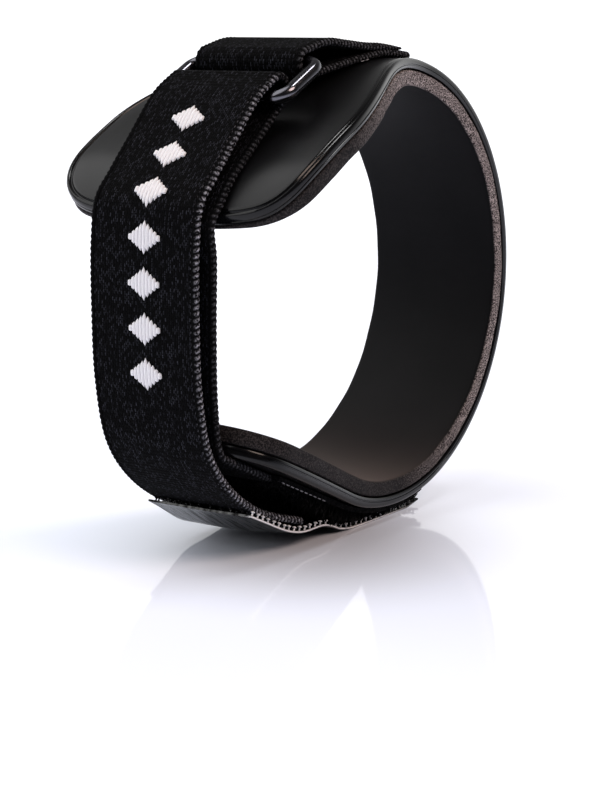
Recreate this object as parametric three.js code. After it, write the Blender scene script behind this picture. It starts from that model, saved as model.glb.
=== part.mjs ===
// Forearm band for tennis elbow: a C-shaped moulded shell, lined with foam and closed by an elastic strap.
// The strap runs from the bottom arm up to a wire ring, folds round it and comes back down to a hook tape.
import * as THREE from 'three';
import { mergeVertices } from 'three/addons/utils/BufferGeometryUtils.js';

const radians = THREE.MathUtils.degToRad;

// Driving dimensions in millimetres and degrees; X points to the closed back, Y along the forearm, Z up
const BACK_RADIUS = 40.3; // inner face of the foam round the back, about half a forearm's breadth
const LINER_THICKNESS = 3.2;
const SHELL_THICKNESS = 2;
const SEAT = 0.3; // clearance between two pieces that lie on each other
const STRIP_WIDTH = 31; // band round the back
const TOP_PAD = { width: 56.4, round: 25, power: 3.9, flare: 49 };
const BOTTOM_PAD = { width: 36, round: 14, power: 2.5, flare: 40 };
const TOP_ARM = { length: 51, turn: 20.4, lean: 16.3 }; // lean is the slope where the arm meets the back
const BOTTOM_ARM = { length: 40, turn: 0, lean: 24 };
const TIP_ROLL = { length: 14, drop: 2.7 }; // the top pad's tip, where the foam thins and the shell rolls down

const STRAP_WIDTH = 25;
const STRAP_THICKNESS = 1.5;
const TAPE_THICKNESS = 0.8;
const PATCH_WIDTH = 28;
const PATCH_THICKNESS = 1.9;
const SEWN_LENGTH = 16; // strap's end on the bottom arm, measured from the arm's tip
const PAD_REST = 13; // strap's stretch on the top pad, measured from the pad's tip
const TIP_MARGIN = 2; // where the strap leaves the shell beside a tip
const PATCH_FROM = 165; // pile patch's end under the heel, in degrees clockwise from the top

const WIRE = 2.8; // ring wire's diameter
const RING_SLOT = STRAP_WIDTH + 1.5;
const RING_SHIFT = -0.4; // the strap has slid to the far end of the ring
const RING_CORNER = 2.2;
const LOWER_BAR = { x: -40.3, z: 39.2 };
const UPPER_BAR = { x: -28.3, z: 45.3 };
const SLACK_BEND = { x: -38.2, z: 40.7 }; // the strap's loop is slack, so it bends beyond the lower bar
const STRAP_FOLD = { middle: SLACK_BEND, arrive: 36, leave: 200, side: -1 };
const ANCHOR_FOLD = { middle: UPPER_BAR, arrive: 188, leave: 12, side: 1 };
const ANCHOR_FROM = 10; // anchor strap's sewn stretch on top of the back, in degrees from the top
const ANCHOR_TO = -12;

// Rim of the shell: distance in from the edge and height above the inner face, a bead with a groove beside it
const RIM_ROWS = [
  { inset: 0, height: 0 },
  { inset: 0, height: 1.5 },
  { inset: 0.5, height: SHELL_THICKNESS },
  { inset: 1.2, height: SHELL_THICKNESS },
  { inset: 1.6, height: 1.5 },
  { inset: 2.1, height: SHELL_THICKNESS },
];

// Free stretches of cloth seen from the side, middle of the thickness
const STRAP_UP_ROWS = [
  { place: 'round the bottom tip', x: -56.2, z: -25.8 },
  { place: 'low left side', x: -58.2, z: -17 },
  { place: 'middle of the left side', x: -59.2, z: -2 },
  { place: 'high left side', x: -59.5, z: 11 },
  { place: 'round the top tip', x: -60.25, z: 17.3 },
];
const STRAP_DOWN_ROWS = [
  { place: 'over the pad', x: -44.6, z: 39.6 },
  { place: 'down the pad', x: -52, z: 31.6 },
  { place: 'above the top tip', x: -57.4, z: 25.6 },
  { place: 'past the top tip', x: -61.3, z: 20.9 },
  { place: 'high left side', x: -62.4, z: 13 },
  { place: 'middle of the left side', x: -62.6, z: 0 },
  { place: 'low left side', x: -61.9, z: -13 },
  { place: 'past the bottom tip', x: -59, z: -24.5 },
  { place: 'under the arm', x: -53.5, z: -31.8 },
  { place: 'towards the heel', x: -43.6, z: -38.3 },
  { place: 'cut end', x: -29, z: -43.7 },
];
const ANCHOR_ROWS = [
  { place: 'above the ring', x: -21.8, z: 49.2 },
  { place: 'towards the top', x: -14, z: 48.9 },
  { place: 'cut end', x: -7, z: 48.35 },
];
const TAPE_ROWS = [
  { place: 'loose end', x: -47.5, z: -39 },
  { place: 'on the strap', x: -42, z: -41.3 },
  { place: 'past the strap', x: -34, z: -44.6 },
  { place: 'towards the foot', x: -25, z: -47.3 },
];
const FOOT = { from: -17, to: 9 }; // flat stretch of the tape that the part stands on
const TAPE_CUT_END = { x: 13.4, z: -47.8 };

// Mesh fineness
const BAND_STEP = 3.5;
const CLOTH_STEP = 3;
const END_STEPS = 10;
const FOLD_STEPS = 8;
const RING_STEPS = 72;
const WIRE_SIDES = 12;
const TIP_START = 0.06; // first angle of a pad's rounded end, so that the tip keeps a short straight edge
const SLOPE_STEP = 0.01;

// Values worked out from the driving dimensions
const BAND = LINER_THICKNESS + SEAT + SHELL_THICKNESS;
const BACK_TURN = 180 + TOP_ARM.lean + BOTTOM_ARM.lean;
const BACK_LENGTH = BACK_RADIUS * radians(BACK_TURN);
const BAND_ROWS = [TOP_ARM, { length: BACK_LENGTH, turn: BACK_TURN }, BOTTOM_ARM];
const BAND_LENGTH = TOP_ARM.length + BACK_LENGTH + BOTTOM_ARM.length;
const ON_SHELL = BAND + SEAT + STRAP_THICKNESS / 2;
const FOLD_RADIUS = WIRE / 2 + SEAT + STRAP_THICKNESS / 2;
const FOOT_Z = -(BACK_RADIUS + BAND + SEAT + PATCH_THICKNESS + SEAT + TAPE_THICKNESS / 2);

// Moves a point along a stretch that turns evenly to the right
function advance({ x, z, heading }, run, curvature) {
  const half = (curvature * run) / 2;
  const chord = half === 0 ? run : (run * Math.sin(half)) / half;
  return {
    x: x + chord * Math.cos(heading - half),
    z: z + chord * Math.sin(heading - half),
    heading: heading - 2 * half,
  };
}

// Start of the band's inner face at the top pad's tip, walked back from where the arm meets the back
function bandStart() {
  const heading = radians(TOP_ARM.lean + TOP_ARM.turn);
  const arm = advance({ x: 0, z: 0, heading }, TOP_ARM.length, radians(TOP_ARM.turn) / TOP_ARM.length);
  return {
    x: -BACK_RADIUS * Math.sin(arm.heading) - arm.x,
    z: BACK_RADIUS * Math.cos(arm.heading) - arm.z,
    heading,
  };
}

const START = bandStart();

// How far the foam's outer face, and what lies on it, sinks towards the inner face near the top pad's tip
function tipDrop(length) {
  return TIP_ROLL.drop * Math.max(0, 1 - length / TIP_ROLL.length) ** 2;
}

// Point at a length along the band, raised from the inner face by an offset
function onBand(length, offset) {
  let place = START;
  let left = length;
  for (const row of BAND_ROWS) {
    const run = row === BOTTOM_ARM ? left : Math.min(left, row.length);
    place = advance(place, run, radians(row.turn) / row.length);
    left -= run;
  }
  const raised = offset - tipDrop(length) * Math.min(1, offset / LINER_THICKNESS);
  return new THREE.Vector2(
    place.x - raised * Math.sin(place.heading),
    place.z + raised * Math.cos(place.heading),
  );
}

// Length along the band of a place on its back, given in degrees clockwise from the top
function onBack(angle) {
  return TOP_ARM.length + BACK_RADIUS * radians(TOP_ARM.lean + angle);
}

// Half width of a pad at a distance from its tip: a squarish rounded end, then a flare down to the strip
function padHalfWidth(distance, { width, round, power, flare }) {
  const strip = STRIP_WIDTH / 2;
  if (distance < round) {
    const inward = Math.min(1, (round - distance) / round);
    return (width / 2) * (1 - inward ** power) ** (1 / power);
  }
  return strip + (width / 2 - strip) * (1 - THREE.MathUtils.smoothstep(distance - round, 0, flare));
}

function bandHalfWidth(length) {
  const toTop = padHalfWidth(length, TOP_PAD);
  const toBottom = padHalfWidth(BAND_LENGTH - length, BOTTOM_PAD);
  return length < BAND_LENGTH / 2 ? toTop : toBottom;
}

// Distances from a pad's tip at which its rounded end is sampled
function endDistances({ round, power }) {
  const distances = [];
  for (let step = 0; step <= END_STEPS; step += 1) {
    const angle = THREE.MathUtils.lerp(TIP_START, Math.PI / 2, step / END_STEPS);
    distances.push(round * (1 - Math.max(0, Math.cos(angle)) ** (2 / power)));
  }
  return distances;
}

// Lengths along the band at which the shell and the liner are sampled
function bandStations() {
  const top = endDistances(TOP_PAD);
  const bottom = endDistances(BOTTOM_PAD).map((distance) => BAND_LENGTH - distance).reverse();
  const from = top.at(-1);
  const to = bottom[0];
  const count = Math.round((to - from) / BAND_STEP);
  const middle = [];
  for (let step = 1; step < count; step += 1) middle.push(from + ((to - from) * step) / count);
  return [...top, ...middle, ...bottom];
}

// Closed solid: a section extruded straight in as many steps as there are stations, then bent by a rule
function bentExtrusion(section, stations, rule) {
  const steps = stations.length - 1;
  const straight = new THREE.ExtrudeGeometry(new THREE.Shape(section), { depth: steps, steps, bevelEnabled: false });
  straight.deleteAttribute('normal');
  straight.deleteAttribute('uv');
  const geometry = mergeVertices(straight);
  const position = geometry.attributes.position;
  for (let index = 0; index < position.count; index += 1) {
    const station = stations[Math.round(position.getZ(index))];
    const { x, y, z } = rule(station, position.getX(index), position.getY(index));
    position.setXYZ(index, x, y, z);
  }
  geometry.computeVertexNormals();
  return geometry;
}

// Bends a section of the band: its edges follow the outline, and what lies inside an edge keeps its inset
function bandGeometry(section, base) {
  return bentExtrusion(section, bandStations(), (length, across, height) => {
    const side = Math.sign(across);
    const inset = STRIP_WIDTH / 2 - Math.abs(across);
    const half = bandHalfWidth(length);
    const step = Math.min(SLOPE_STEP, length / 2, (BAND_LENGTH - length) / 2);
    const slope = (bandHalfWidth(length + step) - bandHalfWidth(length - step)) / (2 * step);
    const scale = Math.hypot(1, slope);
    const { x, y: z } = onBand(length + (inset * slope) / scale, base + height);
    return { x, y: side * (half - inset / scale), z };
  });
}

function shellGeometry() {
  const near = RIM_ROWS.map(({ inset, height }) => new THREE.Vector2(inset - STRIP_WIDTH / 2, height));
  const far = near.map(({ x, y }) => new THREE.Vector2(-x, y)).reverse();
  return bandGeometry([...near, ...far], LINER_THICKNESS + SEAT);
}

// Rectangle centred across, from one height to another
function rectangle(width, low, high) {
  const half = width / 2;
  return [
    new THREE.Vector2(-half, low),
    new THREE.Vector2(half, low),
    new THREE.Vector2(half, high),
    new THREE.Vector2(-half, high),
  ];
}

function linerGeometry() {
  return bandGeometry(rectangle(STRIP_WIDTH, 0, LINER_THICKNESS), 0);
}

// Ribbon of even thickness along a route of points seen from the side
function ribbonGeometry(route, width, thickness) {
  const stations = route.map((point, index) => {
    const before = route[Math.max(0, index - 1)];
    const after = route[Math.min(route.length - 1, index + 1)];
    const along = after.clone().sub(before).normalize();
    return { point, across: new THREE.Vector2(-along.y, along.x) };
  });
  const section = rectangle(width, -thickness / 2, thickness / 2);
  return bentExtrusion(section, stations, ({ point, across }, side, height) => ({
    x: point.x + across.x * height,
    y: side,
    z: point.y + across.y * height,
  }));
}

// Evenly spaced points of a smooth curve through some points
function smooth(points) {
  const curve = new THREE.CatmullRomCurve3(points.map(({ x, y }) => new THREE.Vector3(x, y, 0)));
  const count = Math.ceil(curve.getLength() / CLOTH_STEP);
  return curve.getSpacedPoints(count).map(({ x, y }) => new THREE.Vector2(x, y));
}

function pointsOf(rows) {
  return rows.map(({ x, z }) => new THREE.Vector2(x, z));
}

// Fold of a strap: points from the arriving heading to the leaving one, turning left or right
function foldPoints({ middle, arrive, leave, side }) {
  const turn = THREE.MathUtils.euclideanModulo((arrive - leave) * side, 360) * side;
  const points = [];
  for (let step = 0; step <= FOLD_STEPS; step += 1) {
    const heading = radians(arrive - (turn * step) / FOLD_STEPS);
    const x = middle.x - side * FOLD_RADIUS * Math.sin(heading);
    const z = middle.z + side * FOLD_RADIUS * Math.cos(heading);
    points.push(new THREE.Vector2(x, z));
  }
  return points;
}

// Route that comes in over some points, folds back and goes out over others
function foldedRoute(arriving, fold, leaving) {
  const bend = foldPoints(fold);
  const before = smooth([...arriving, bend[0]]);
  const after = smooth([bend.at(-1), ...leaving]);
  return [...before.slice(0, -1), ...bend, ...after.slice(1)];
}

// Points on the outside of the shell at lengths along the band
function onShell(lengths) {
  return lengths.map((length) => onBand(length, ON_SHELL));
}

function strapGeometry() {
  const sewn = onShell([SEWN_LENGTH, SEWN_LENGTH / 2, TIP_MARGIN].map((toTip) => BAND_LENGTH - toTip));
  const pad = onShell([TIP_MARGIN, (TIP_MARGIN + PAD_REST) / 2, PAD_REST]);
  const up = [...sewn, ...pointsOf(STRAP_UP_ROWS), ...pad];
  const route = foldedRoute(up, STRAP_FOLD, pointsOf(STRAP_DOWN_ROWS));
  return ribbonGeometry(route, STRAP_WIDTH, STRAP_THICKNESS);
}

function anchorGeometry() {
  const sewn = onShell([onBack(ANCHOR_FROM), onBack(0), onBack(ANCHOR_TO)]);
  const route = foldedRoute(sewn, ANCHOR_FOLD, pointsOf(ANCHOR_ROWS));
  return ribbonGeometry(route, STRAP_WIDTH, STRAP_THICKNESS);
}

// Hook tape: from its loose end along the strap to the flat foot and up to its cut end
function tapeGeometry() {
  const from = new THREE.Vector2(FOOT.from, FOOT_Z);
  const to = new THREE.Vector2(FOOT.to, FOOT_Z);
  const arriving = smooth([...pointsOf(TAPE_ROWS), from]);
  const cutEnd = new THREE.Vector2(TAPE_CUT_END.x, TAPE_CUT_END.z);
  return ribbonGeometry([...arriving, to, cutEnd], STRAP_WIDTH, TAPE_THICKNESS);
}

// Pile patch on the outside of the shell, from past the heel to the strap's sewn end
function patchGeometry() {
  const from = onBack(PATCH_FROM);
  const to = BAND_LENGTH - SEWN_LENGTH - SEAT;
  const count = Math.round((to - from) / BAND_STEP);
  const route = [];
  for (let step = 0; step <= count; step += 1) {
    const length = THREE.MathUtils.lerp(from, to, step / count);
    route.push(onBand(length, BAND + SEAT + PATCH_THICKNESS / 2));
  }
  return ribbonGeometry(route, PATCH_WIDTH, PATCH_THICKNESS);
}

// Wire ring: a tube round a closed rounded rectangle, from one bar to the other
function ringGeometry() {
  const bars = Math.hypot(UPPER_BAR.x - LOWER_BAR.x, UPPER_BAR.z - LOWER_BAR.z) / 2;
  const sides = (RING_SLOT + WIRE) / 2;
  const right = bars - RING_CORNER;
  const top = sides - RING_CORNER;
  const quarter = Math.PI / 2;
  const outline = new THREE.Path();
  outline.absarc(right, top, RING_CORNER, 0, quarter);
  outline.absarc(-right, top, RING_CORNER, quarter, 2 * quarter);
  outline.absarc(-right, -top, RING_CORNER, 2 * quarter, 3 * quarter);
  outline.absarc(right, -top, RING_CORNER, 3 * quarter, 4 * quarter);
  outline.closePath();
  const points = outline.getSpacedPoints(RING_STEPS).slice(0, -1);
  const curve = new THREE.CatmullRomCurve3(points.map(({ x, y }) => new THREE.Vector3(x, y, 0)), true);
  return new THREE.TubeGeometry(curve, RING_STEPS, WIRE / 2, WIRE_SIDES, true);
}

function piece(name, geometry, color, roughness, metalness = 0) {
  const mesh = new THREE.Mesh(geometry, new THREE.MeshStandardMaterial({ color, roughness, metalness }));
  mesh.name = name;
  return mesh;
}

const ring = piece('strap_ring', ringGeometry(), '#55565a', 0.22, 1);
ring.position.set((LOWER_BAR.x + UPPER_BAR.x) / 2, RING_SHIFT, (LOWER_BAR.z + UPPER_BAR.z) / 2);
ring.rotation.y = -Math.atan2(UPPER_BAR.z - LOWER_BAR.z, UPPER_BAR.x - LOWER_BAR.x);

const support = new THREE.Group();
support.add(
  piece('shell', shellGeometry(), '#1d1c1e', 0.4),
  piece('foam_liner', linerGeometry(), '#3b3637', 0.95),
  piece('anchor_strap', anchorGeometry(), '#17171c', 0.9),
  ring,
  piece('strap', strapGeometry(), '#15151b', 0.9),
  piece('hook_tape', tapeGeometry(), '#121214', 0.35),
  piece('pile_patch', patchGeometry(), '#0e0e10', 1),
);

// The origin is the middle of the part's box, at the height of the foot
const box = new THREE.Box3().setFromObject(support);
const centre = box.getCenter(new THREE.Vector3());
support.position.set(-centre.x, -centre.y, -box.min.z);

export default support;
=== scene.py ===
# %% [markdown]
# A forearm band for tennis elbow. The real one is a C of moulded plastic lined with foam, and an
# elastic strap closes its open side: up from the bottom arm, over the broad pad, round a wire ring and
# back down to a hook tape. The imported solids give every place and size. This lesson keeps them as the
# frame and builds each visible surface again, finer, as arrays of points that numpy works out from a
# few lengths.

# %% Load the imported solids
import bmesh
import bpy
import numpy as np
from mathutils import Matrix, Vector


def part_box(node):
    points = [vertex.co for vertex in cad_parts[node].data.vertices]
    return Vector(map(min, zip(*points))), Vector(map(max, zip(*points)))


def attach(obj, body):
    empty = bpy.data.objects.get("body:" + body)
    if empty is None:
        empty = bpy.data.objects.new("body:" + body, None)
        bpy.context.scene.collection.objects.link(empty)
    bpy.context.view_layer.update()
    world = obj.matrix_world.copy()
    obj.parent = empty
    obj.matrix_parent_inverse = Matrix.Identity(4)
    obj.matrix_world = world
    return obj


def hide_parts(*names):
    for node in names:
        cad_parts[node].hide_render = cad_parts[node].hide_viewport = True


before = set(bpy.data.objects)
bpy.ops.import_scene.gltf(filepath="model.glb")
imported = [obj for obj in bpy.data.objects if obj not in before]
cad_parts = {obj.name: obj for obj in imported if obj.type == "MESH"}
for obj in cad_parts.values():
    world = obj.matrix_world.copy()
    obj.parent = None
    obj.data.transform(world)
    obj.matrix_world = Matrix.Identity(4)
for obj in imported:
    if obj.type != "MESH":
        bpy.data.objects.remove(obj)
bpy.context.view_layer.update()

# %% [markdown]
# The band is drawn from the side, in millimetres, with zero at the middle of the round back: x points
# to the closed back, z up, and y runs along the forearm. Lengths are those of the solids. The middle of
# the back is found from the shell's box, so one function can carry any drawing into the frame, in
# metres.

# %% Sizes in millimetres, and the way into the frame
MM = 0.001
BACK_RADIUS = 40.3
LINER_THICKNESS = 3.2
SHELL_THICKNESS = 2.0
SEAT = 0.3
STRIP_WIDTH = 31.0
TOP_PAD = {"width": 56.4, "round": 25.0, "power": 4.5, "flare": 49.0}
BOTTOM_PAD = {"width": 36.0, "round": 14.0, "power": 2.5, "flare": 40.0}
TOP_ARM = {"length": 51.0, "turn": 20.4, "lean": 16.3}
BOTTOM_ARM = {"length": 40.0, "lean": 24.0}
TIP_ROLL = {"length": 14.0, "drop": 2.7}
BAND = LINER_THICKNESS + SEAT + SHELL_THICKNESS
BACK_TURN = 180 + TOP_ARM["lean"] + BOTTOM_ARM["lean"]
BACK_LENGTH = BACK_RADIUS * np.radians(BACK_TURN)
BAND_LENGTH = TOP_ARM["length"] + BACK_LENGTH + BOTTOM_ARM["length"]

shell_low, shell_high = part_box("shell")
OUTER_RADIUS = BACK_RADIUS + BAND
CENTRE = np.array([shell_high.x / MM - OUTER_RADIUS, 0, shell_low.z / MM + OUTER_RADIUS])


def into_frame(points):
    """Millimetres round the middle of the back, moved to the frame's origin and turned to metres."""
    return (np.asarray(points) + CENTRE) * MM


print("middle of the back at", CENTRE.round(2), "mm; band", round(BAND_LENGTH, 1), "mm long inside")

# %% [markdown]
# Every piece below is a grid: rows of points, each row joined to the next by four-sided faces. A row or
# a column that ends where it began is wrapped. The faces are turned outwards by the sign of the volume
# that they enclose, which is cheaper than asking Blender to work it out and gives the same answer each
# time.

# %% Grids into meshes
SMOOTH_ANGLE = np.radians(40)
SAME_PLACE = 0.001


def grid_faces(rows, columns, wrap_rows=False, wrap_columns=False):
    """Corners of the faces between neighbours of a grid, counted along its rows, wrapped where asked."""
    row = np.arange(rows if wrap_rows else rows - 1)[:, None]
    column = np.arange(columns if wrap_columns else columns - 1)[None, :]
    next_row, next_column = (row + 1) % rows, (column + 1) % columns
    corners = [row * columns + column, next_row * columns + column]
    corners += [next_row * columns + next_column, row * columns + next_column]
    return np.stack(np.broadcast_arrays(*corners), axis=-1).reshape(-1, 4)


def outward(points, faces):
    """The faces, all turned round if the sum of the small volumes under them is negative."""
    a, b, c, d = (points[faces[:, k]] for k in range(4))
    volume = np.einsum("ij,ij->i", np.cross(c - a, d - b), a + b + c + d).sum()
    return faces if volume > 0 else faces[:, ::-1]


def add_piece(name, points, faces, material, caps=(), uv=None, marks=None, merge=False):
    """Makes a mesh object of millimetre points; uv has a pair for each point, and marks a number for each."""
    points = points.reshape(-1, 3)
    faces = outward(points, faces)
    mesh = bpy.data.meshes.new(name)
    mesh.from_pydata(into_frame(points).tolist(), [], faces.tolist() + [list(cap) for cap in caps])
    if uv is not None:
        corner = np.zeros(len(mesh.loops), np.int32)
        mesh.loops.foreach_get("vertex_index", corner)
        layer = mesh.uv_layers.new(name="weave")
        layer.data.foreach_set("uv", uv.reshape(-1, 2)[corner].astype(np.float32).ravel())
    for label, values in (marks or {}).items():
        attribute = mesh.attributes.new(label, "FLOAT", "POINT")
        attribute.data.foreach_set("value", values.astype(np.float32).ravel())
    if merge:
        shape = bmesh.new()
        shape.from_mesh(mesh)
        bmesh.ops.remove_doubles(shape, verts=shape.verts, dist=MM * SAME_PLACE)
        shape.to_mesh(mesh)
        shape.free()
    mesh.polygons.foreach_set("use_smooth", np.ones(len(mesh.polygons), bool))
    mesh.set_sharp_from_angle(angle=SMOOTH_ANGLE)
    mesh.materials.append(material)
    piece = bpy.data.objects.new(name, mesh)
    bpy.context.scene.collection.objects.link(piece)
    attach(piece, "root")
    print(f"{name}: {len(mesh.vertices)} points, {len(mesh.polygons)} faces")
    return piece


# %% [markdown]
# Materials are node trees. One small function adds a node, sets it and links it, so each finish below
# reads as a list of what it is made of. Colours are written as the hex values that a screen shows and
# turned to linear light once. A pattern's scale is one over its size in metres, because Object
# coordinates are in metres here.

# %% Colours and nodes
def linear(hex_colour):
    """A screen's hex colour as linear red, green, blue and alpha."""
    screen = np.array([int(hex_colour[k:k + 2], 16) for k in (1, 3, 5)]) / 255
    light = np.where(screen <= 0.04045, screen / 12.92, ((screen + 0.055) / 1.055) ** 2.4)
    return (*light.tolist(), 1.0)


def add_node(tree, kind, settings=None, **inputs):
    """Adds a node. An input is a number, a colour or another node's output; in_3 means the fourth socket."""
    made = tree.nodes.new("ShaderNode" + kind)
    for key, value in (settings or {}).items():
        setattr(made, key, value)
    for key, value in inputs.items():
        place = int(key[3:]) if key.startswith("in_") else key.replace("_", " ")
        if isinstance(value, bpy.types.NodeSocket):
            tree.links.new(value, made.inputs[place])
        else:
            made.inputs[place].default_value = value
    return made


def new_material(name):
    """An empty material with its tree and its output node."""
    material = bpy.data.materials.new(name)
    material.use_nodes = True
    tree = material.node_tree
    tree.nodes.clear()
    return material, tree, tree.nodes.new("ShaderNodeOutputMaterial")


def mark(tree, label):
    """The numbers that a mesh carries for its points under a label."""
    return add_node(tree, "Attribute", {"attribute_name": label}).outputs["Fac"]


def blend(tree, share, low, high):
    """A colour between two others, by a share from 0 to 1."""
    return add_node(tree, "Mix", {"data_type": "RGBA"}, in_0=share, in_6=low, in_7=high).outputs[2]


def coat(tree, out, **sockets):
    """Ends a material's tree with one Principled shader."""
    shader = add_node(tree, "BsdfPrincipled", **sockets)
    tree.links.new(shader.outputs["BSDF"], out.inputs["Surface"])


def per_mm(size):
    """How often a pattern of a size in millimetres repeats in a metre."""
    return 1 / (size * MM)


# %% [markdown]
# The shell is moulded polypropylene, black all through. The mould leaves a fine satin grain, so light
# spreads into a soft grey sheen, and handling leaves patches that are a little smoother. The mark
# called bead is 1 on the rim, which is polished, so it draws a crisp bright line.

# %% Shell plastic
BEAD_POLISH = 0.18  # how much smoother the rim is
WORN_PATCH, MOULD_GRAIN, GRAIN_DEPTH = 14, 0.35, 0.05


def moulded_polypropylene():
    material, tree, out = new_material("moulded_polypropylene_black")
    where = add_node(tree, "TexCoord").outputs["Object"]
    patches = add_node(tree, "TexNoise", Vector=where, Scale=per_mm(WORN_PATCH), Detail=3.0)
    rough = add_node(tree, "MapRange", Value=patches.outputs["Fac"], To_Min=0.28, To_Max=0.38)
    rough = add_node(tree, "Math", {"operation": "MULTIPLY_ADD"}, in_0=mark(tree, "bead"), in_1=-BEAD_POLISH,
                     in_2=rough.outputs["Result"])
    grain = add_node(tree, "TexNoise", Vector=where, Scale=per_mm(MOULD_GRAIN), Detail=2.0)
    bump = add_node(tree, "Bump", Strength=0.2, Distance=GRAIN_DEPTH * MM, Height=grain.outputs["Fac"])
    coat(tree, out, Base_Color=linear("#0a0a0c"), IOR=1.42, Specular_IOR_Level=0.37,
         Roughness=rough.outputs["Value"], Normal=bump.outputs["Normal"])
    return material


shell_plastic = moulded_polypropylene()
print("finish:", shell_plastic.name)

# %% [markdown]
# The liner is closed-cell EVA foam. Its inner face has a smooth dark skin. Where the sheet was cut, the knife
# opens thousands of tiny cells, and their rims catch the light as a pale speckle. The mesh carries a mark
# that is 1 on the cut edge and 0 on the skin, and the material mixes the two by it. A second mark is 1 on the
# skin near the bottom of the inner face, where a lighter warm grey is painted in as the light that falls on
# that upturned face.

# %% Foam
CELL_SIZE = 0.31  # coarser than the real cells, so that the speckle shows in the picture
CELL_DEPTH, CLOUD_SIZE = 0.2, 9


def cut_foam():
    material, tree, out = new_material("eva_foam_charcoal")
    where = add_node(tree, "TexCoord").outputs["Object"]
    cut = mark(tree, "cut")
    cells = add_node(tree, "TexNoise", Vector=where, Scale=per_mm(CELL_SIZE), Detail=3.0, Roughness=0.75)
    speckle = add_node(tree, "MapRange", Value=cells.outputs["Fac"], From_Min=0.46, From_Max=0.6)
    cut_speckle = blend(tree, speckle.outputs["Result"], linear("#1d1819"), linear("#bcb0ae"))
    cloud = add_node(tree, "TexNoise", Vector=where, Scale=per_mm(CLOUD_SIZE), Detail=4.0)
    skin = blend(tree, cloud.outputs["Fac"], linear("#09090b"), linear("#131214"))
    # painted light: a lighter warm grey on the skin near the bottom of the inner face, where light falls on
    # it
    skin = blend(tree, mark(tree, "painted_light_patch"), skin, linear("#5e5552"))
    colour = blend(tree, cut, skin, cut_speckle)
    rough = add_node(tree, "MapRange", Value=cut, To_Min=0.55, To_Max=0.95)
    depth = add_node(tree, "MapRange", Value=cut, To_Min=0.08, To_Max=0.7)
    bump = add_node(tree, "Bump", Strength=depth.outputs["Result"], Distance=CELL_DEPTH * MM,
                    Height=cells.outputs["Fac"])
    coat(tree, out, Base_Color=colour, IOR=1.45, Specular_IOR_Level=0.1, Roughness=rough.outputs["Result"],
         Normal=bump.outputs["Normal"])
    return material


foam = cut_foam()
print("finish:", foam.name)

# %% [markdown]
# The straps are woven elastic: black polyester warp threads float along the strap in short steps, and
# the weft turns round a twisted cord at each edge. A brick pattern is just such a set of staggered
# short floats, so it gives both the colour of single threads and their bump, and a noise lets only some
# of them glint. The coordinates are the strap's own, in millimetres, so the threads follow every bend.
# The mark called selvage picks out the twisted edge, and twist its lighter strands. How pale those strands
# are is painted light: full on the outward side of the outer layer's near cord, and much less on the far cord
# and on the covered layers.

# %% Elastic webbing
FLOAT_LENGTH, THREAD_WIDTH, THREAD_HEIGHT = 0.8, 0.4, 0.16
WANDERS, FLECKS, GLINTS = 0.9, 2.4, 2.3  # bends of a thread, and bright places, in a millimetre


def woven_elastic(name, dark, light, edge):
    material, tree, out = new_material(name)
    weave = add_node(tree, "UVMap", {"uv_map": "weave"}).outputs["UV"]
    wander = add_node(tree, "TexNoise", Vector=weave, Scale=WANDERS, Detail=1.0)
    uneven = add_node(tree, "MixRGB", Fac=0.06, Color1=weave, Color2=wander.outputs["Color"])
    floats = add_node(tree, "TexBrick", {"offset": 0.5, "offset_frequency": 2},
                      Vector=uneven.outputs["Color"], Color1=linear(dark), Color2=linear(light),
                      Mortar=linear("#020203"), Scale=1.0, Mortar_Size=0.13, Mortar_Smooth=0.6, Bias=-0.45,
                      Brick_Width=FLOAT_LENGTH, Row_Height=THREAD_WIDTH)
    worn = add_node(tree, "TexNoise", Vector=weave, Scale=FLECKS, Detail=2.0)
    worn = add_node(tree, "MapRange", Value=worn.outputs["Fac"], From_Min=0.4, From_Max=0.65)
    fleck = add_node(tree, "Math", {"operation": "MULTIPLY"}, in_0=mark(tree, "twist"),
                     in_1=worn.outputs["Result"])
    cord = blend(tree, fleck.outputs["Value"], linear(dark), linear(edge))
    glint = add_node(tree, "TexNoise", Vector=weave, Scale=GLINTS, Detail=2.0)
    glint = add_node(tree, "MapRange", Value=glint.outputs["Fac"], From_Min=0.22, From_Max=0.8)
    face = blend(tree, glint.outputs["Result"], linear(dark), floats.outputs["Color"])
    colour = blend(tree, mark(tree, "selvage"), face, cord)
    height = add_node(tree, "MapRange", Value=floats.outputs["Fac"], To_Min=1.0, To_Max=0.0)
    bump = add_node(tree, "Bump", Strength=0.75, Distance=THREAD_HEIGHT * MM, Height=height.outputs["Result"])
    coat(tree, out, Base_Color=colour, Roughness=0.85, IOR=1.5, Specular_IOR_Level=0.06,
         Normal=bump.outputs["Normal"])
    return material


strap_elastic = woven_elastic("woven_polyester_elastic", "#030304", "#565762", "#c0c0ca")
print("finish:", strap_elastic.name)

# %% [markdown]
# The ring is steel wire under black nickel: a dark mirror, with the faintest haze from polishing. The hook
# tape is nylon moulded smooth and shiny, with a painted highlight where the mark called edge says: near white
# along its near edge and on the first row of hooks, where they catch the light. The pile it holds is brushed
# nylon loops, which is all sheen and no gloss. Thread is spun polyester, dull and soft: white in the woven
# figures, grey in the seams.

# %% Wire, hook nylon, pile and thread
HAZE_SIZE = 2.5


def black_nickel():
    material, tree, out = new_material("black_nickel_wire")
    where = add_node(tree, "TexCoord").outputs["Object"]
    haze = add_node(tree, "TexNoise", Vector=where, Scale=per_mm(HAZE_SIZE), Detail=4.0)
    rough = add_node(tree, "MapRange", Value=haze.outputs["Fac"], To_Min=0.1, To_Max=0.24)
    coat(tree, out, Base_Color=linear("#6a696f"), Metallic=1.0, Roughness=rough.outputs["Result"])
    return material


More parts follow.
